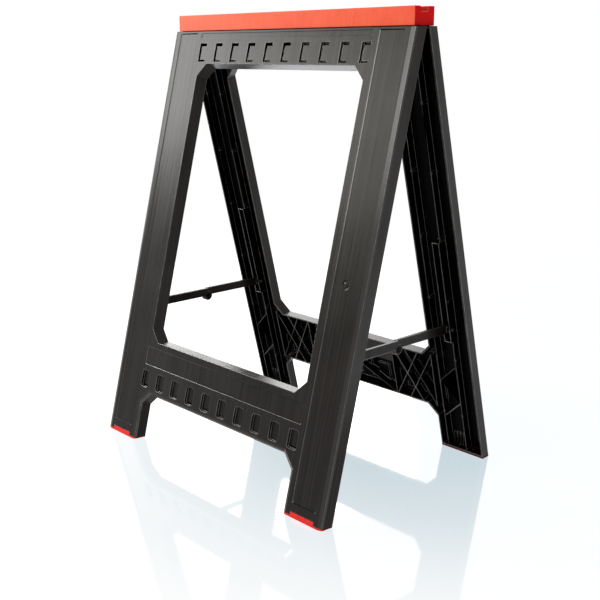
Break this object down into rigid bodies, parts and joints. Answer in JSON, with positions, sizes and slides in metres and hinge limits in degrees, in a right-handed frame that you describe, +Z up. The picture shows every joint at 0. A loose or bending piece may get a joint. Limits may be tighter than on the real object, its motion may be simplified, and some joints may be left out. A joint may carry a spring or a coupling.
{
  "type": "builders trestle",
  "caption": "Folding A-frame builders trestle: moulded black channel frames hinged under a grooved red cap, with folding side braces and red rubber feet.",
  "frame": {"origin": "on the floor, in the middle of the feet, with the trestle open", "axes": "+X along the cap, +Y across the spread of the legs towards the rear frame, +Z up"},
  "size_m": [0.575, 0.4196, 0.755],
  "materials": {
    "red_plastic": "satin",
    "red_rubber": "matt",
    "black_plastic": "satin",
    "steel": "brushed"
  },
  "bodies": {
    "cap": {"top_cap": "red_plastic", "hinge_rod": "steel"},
    "front_frame": {"front_frame": "black_plastic", "front_left_foot": "red_rubber", "front_right_foot": "red_rubber", "front_left_pivot_pin": "steel", "front_right_pivot_pin": "steel"},
    "rear_frame": {"rear_frame": "black_plastic", "rear_left_foot": "red_rubber", "rear_right_foot": "red_rubber", "rear_left_pivot_pin": "steel", "rear_right_pivot_pin": "steel"},
    "front_left_arm": {"front_left_arm": "black_plastic", "left_knuckle_rivet": "black_plastic"},
    "front_right_arm": {"front_right_arm": "black_plastic", "right_knuckle_rivet": "black_plastic"},
    "rear_left_arm": {"rear_left_arm": "black_plastic", "left_knuckle_tail": "black_plastic"},
    "rear_right_arm": {"rear_right_arm": "black_plastic", "right_knuckle_tail": "black_plastic"}
  },
  "joints": [
    {"name": "front_fold", "type": "hinge", "parent": "cap", "child": "front_frame", "pos_m": [0, 0, 0.735], "axis": [1, 0, 0], "range_deg": [0, 14.2]},
    {"name": "rear_fold", "type": "hinge", "parent": "cap", "child": "rear_frame", "pos_m": [0, 0, 0.735], "axis": [1, 0, 0], "range_deg": [-14.2, 0]},
    {"name": "front_left_brace", "type": "hinge", "parent": "front_frame", "child": "front_left_arm", "pos_m": [-0.24325, -0.13476, 0.2375], "axis": [1, 0, 0], "range_deg": [0, 75.34]},
    {"name": "front_right_brace", "type": "hinge", "parent": "front_frame", "child": "front_right_arm", "pos_m": [0.24325, -0.13476, 0.2375], "axis": [1, 0, 0], "range_deg": [0, 75.34]},
    {"name": "rear_left_brace", "type": "hinge", "parent": "rear_frame", "child": "rear_left_arm", "pos_m": [-0.24325, 0.13476, 0.2375], "axis": [1, 0, 0], "range_deg": [-75.34, 0]},
    {"name": "rear_right_brace", "type": "hinge", "parent": "rear_frame", "child": "rear_right_arm", "pos_m": [0.24325, 0.13476, 0.2375], "axis": [1, 0, 0], "range_deg": [-75.34, 0]}
  ],
  "couplings": [
    {"joint": "rear_fold", "follows": "front_fold", "ratio": -1},
    {"joint": "front_left_brace", "follows": "front_fold", "ratio": 5.3051},
    {"joint": "front_right_brace", "follows": "front_fold", "ratio": 5.3051},
    {"joint": "rear_left_brace", "follows": "front_fold", "ratio": -5.3051},
    {"joint": "rear_right_brace", "follows": "front_fold", "ratio": -5.3051}
  ]
}
